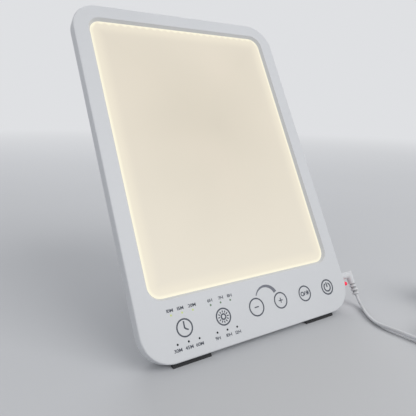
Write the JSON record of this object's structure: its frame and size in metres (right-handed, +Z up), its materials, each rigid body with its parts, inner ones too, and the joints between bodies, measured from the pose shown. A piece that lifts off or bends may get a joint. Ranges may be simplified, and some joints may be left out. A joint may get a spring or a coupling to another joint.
{
  "type": "light therapy lamp",
  "caption": "Flat tablet-shaped light therapy lamp with a lit window, touch icons and a fold-out stand leg at the back, with its plug, cord and mains adaptor.",
  "frame": {"origin": "on the floor, under the middle of the lamp without its cord, with the lamp leaning back on its open stand", "axes": "+Z up, -Y towards the user whom the lit face leans away from, +X to the lamp's right as the user sees it, where its plug is"},
  "size_m": [0.2643, 0.2435, 0.2103],
  "materials": {
    "white_case": "fine satin moulded plastic",
    "diffuser": "matt opal sheet",
    "light_guide": "clear acrylic with printed dots",
    "reflector": "matt white film",
    "led_board": "white solder mask",
    "led": "white package with yellow phosphor",
    "foam": "closed-cell foam",
    "circuit_board": "green solder mask",
    "light_pipe": "clear moulded pins",
    "chip": "black moulded",
    "capacitor": "plain can",
    "connector": "natural nylon",
    "lead": "red and black insulation",
    "screw": "zinc plated",
    "jack": "black moulded",
    "contact": "nickel plated",
    "red_lens": "tinted clear lens, lit",
    "dark_rubber": "soft, matt",
    "bracket_steel": "stamped, zinc plated",
    "pin_steel": "riveted",
    "washer": "acetal",
    "white_cord": "smooth soft vinyl",
    "tie": "plain soft strap",
    "adapter_case": "fine satin moulded plastic"
  },
  "bodies": {
    "panel": {"front_frame": "white_case", "back_cover": "white_case", "diffuser_panel": "diffuser", "light_guide": "light_guide", "reflector_sheet": "reflector", "led_board_top": "led_board", "led_board_bottom": "led_board", "leds_top": "led", "leds_bottom": "led", "foam_strips": "foam", "control_board": "circuit_board", "touch_pads": "foam", "indicator_leds": "led", "indicator_light_pipes": "light_pipe", "touch_chip": "chip", "led_driver_chip": "chip", "driver_inductor": "chip", "driver_capacitors": "capacitor", "lead_connectors": "connector", "top_board_leads": "lead", "bottom_board_leads": "lead", "board_screws": "screw", "case_screws": "screw", "dc_jack": "jack", "dc_jack_pin": "contact", "power_light": "red_lens", "front_feet": "dark_rubber", "hinge_bracket": "bracket_steel", "hinge_pin": "pin_steel", "friction_washers": "washer", "bracket_screws": "screw", "plug_body": "white_cord", "plug_barrel": "contact", "power_cord": "white_cord", "cord_coil": "white_cord", "cord_tie": "tie", "cord_tail": "white_cord", "adapter_relief": "white_cord", "adapter_front_shell": "adapter_case", "adapter_back_shell": "adapter_case", "adapter_blades": "contact", "adapter_board": "circuit_board", "adapter_transformer": "chip"},
    "stand": {"stand_leg": "white_case", "stand_foot": "dark_rubber"}
  },
  "joints": [
    {"name": "stand_hinge", "type": "hinge", "parent": "panel", "child": "stand", "pos_m": [-0.0025, 0.01676, 0.11899], "axis": [1, 0, 0], "range_deg": [-42, 0]}
  ]
}
